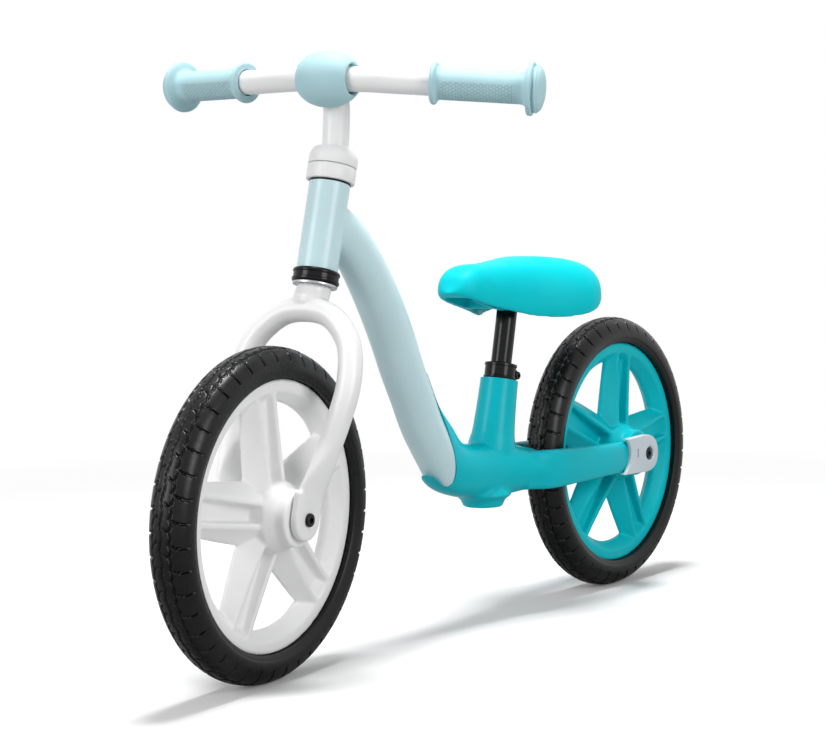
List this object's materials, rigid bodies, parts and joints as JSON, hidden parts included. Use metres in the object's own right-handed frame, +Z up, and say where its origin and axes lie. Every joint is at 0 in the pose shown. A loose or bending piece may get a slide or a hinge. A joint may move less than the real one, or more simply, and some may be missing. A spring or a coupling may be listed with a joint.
{
  "type": "balance bike",
  "caption": "Pedal-less child's balance bike with spoked foam-tyred wheels, arched fork, low swept frame, height-adjustable saddle and padded handlebar with flanged grips.",
  "frame": {"origin": "On the ground midway between the two axles, in the bike's centre plane: the middle of the bounding box's bottom face.", "axes": "The bike heads along -Y, +X is the rider's left, +Z is up. The front wheel and the fork are at rest turned 6 degrees towards the rider's left."},
  "size_m": [0.379, 0.8691, 0.5484],
  "materials": {
    "pale_blue_paint": "satin powder coat",
    "turquoise_paint": "satin powder coat",
    "white_paint": "gloss powder coat",
    "black_paint": "gloss",
    "black_steel": "black oxide",
    "bright_steel": "ground",
    "white_plastic": "fine moulded",
    "turquoise_plastic": "fine moulded",
    "pale_grey_plastic": "fine moulded",
    "pale_blue_rubber": "soft matt",
    "turquoise_foam": "smooth self-skinned foam",
    "tyre_foam": "matt foam rubber"
  },
  "bodies": {
    "frame": {"front_frame": "pale_blue_paint", "rear_frame": "turquoise_paint", "stay_cap_left": "pale_grey_plastic", "stay_cap_right": "pale_grey_plastic", "lower_headset_cup": "black_paint", "lower_headset_bearing": "bright_steel", "upper_headset_cup": "black_paint", "upper_headset_bearing": "bright_steel", "seat_tube_liner": "black_steel", "seat_clamp": "black_paint", "seat_clamp_bolt": "black_steel", "rear_axle": "bright_steel", "rear_axle_bolt_left": "black_steel", "rear_axle_bolt_right": "black_steel", "rear_spacer_left": "black_steel", "rear_spacer_right": "black_steel"},
    "steering": {"fork": "white_paint", "crown_race": "bright_steel", "steering_collar_ring": "white_plastic", "steering_collar_clamp": "white_plastic", "steering_collar_bolt": "black_steel", "front_axle": "bright_steel", "front_axle_bolt_left": "black_steel", "front_axle_bolt_right": "black_steel", "front_spacer_left": "black_steel", "front_spacer_right": "black_steel"},
    "handlebar": {"handlebar": "white_paint", "handlebar_pad": "pale_blue_rubber", "grip_left": "pale_blue_rubber", "grip_right": "pale_blue_rubber"},
    "front_wheel": {"front_tyre": "tyre_foam", "front_rim": "white_plastic", "front_bearing_left": "bright_steel", "front_bearing_right": "bright_steel"},
    "rear_wheel": {"rear_tyre": "tyre_foam", "rear_rim": "turquoise_plastic", "rear_bearing_left": "bright_steel", "rear_bearing_right": "bright_steel"},
    "saddle": {"seat_post": "black_paint", "saddle_cover": "turquoise_foam", "saddle_base": "turquoise_plastic"}
  },
  "joints": [
    {"name": "steering", "type": "hinge", "parent": "frame", "child": "steering", "pos_m": [0, -0.20955, 0.35455], "axis": [0, 0.2504, 0.9681], "range_deg": [-41, 29]},
    {"name": "handlebar_height", "type": "slide", "parent": "steering", "child": "handlebar", "axis": [0, 0.2504, 0.9681], "range_m": [0, 0.04]},
    {"name": "front_wheel_spin", "type": "hinge", "parent": "steering", "child": "front_wheel", "pos_m": [0.00258, -0.28887, 0.14597], "axis": [0.9945, 0.1012, -0.0262], "continuous": true},
    {"name": "rear_wheel_spin", "type": "hinge", "parent": "frame", "child": "rear_wheel", "pos_m": [0, 0.289, 0.146], "axis": [1, 0, 0], "continuous": true},
    {"name": "saddle_height", "type": "slide", "parent": "frame", "child": "saddle", "axis": [0, 0.213, 0.977], "range_m": [-0.03, 0.04]}
  ]
}
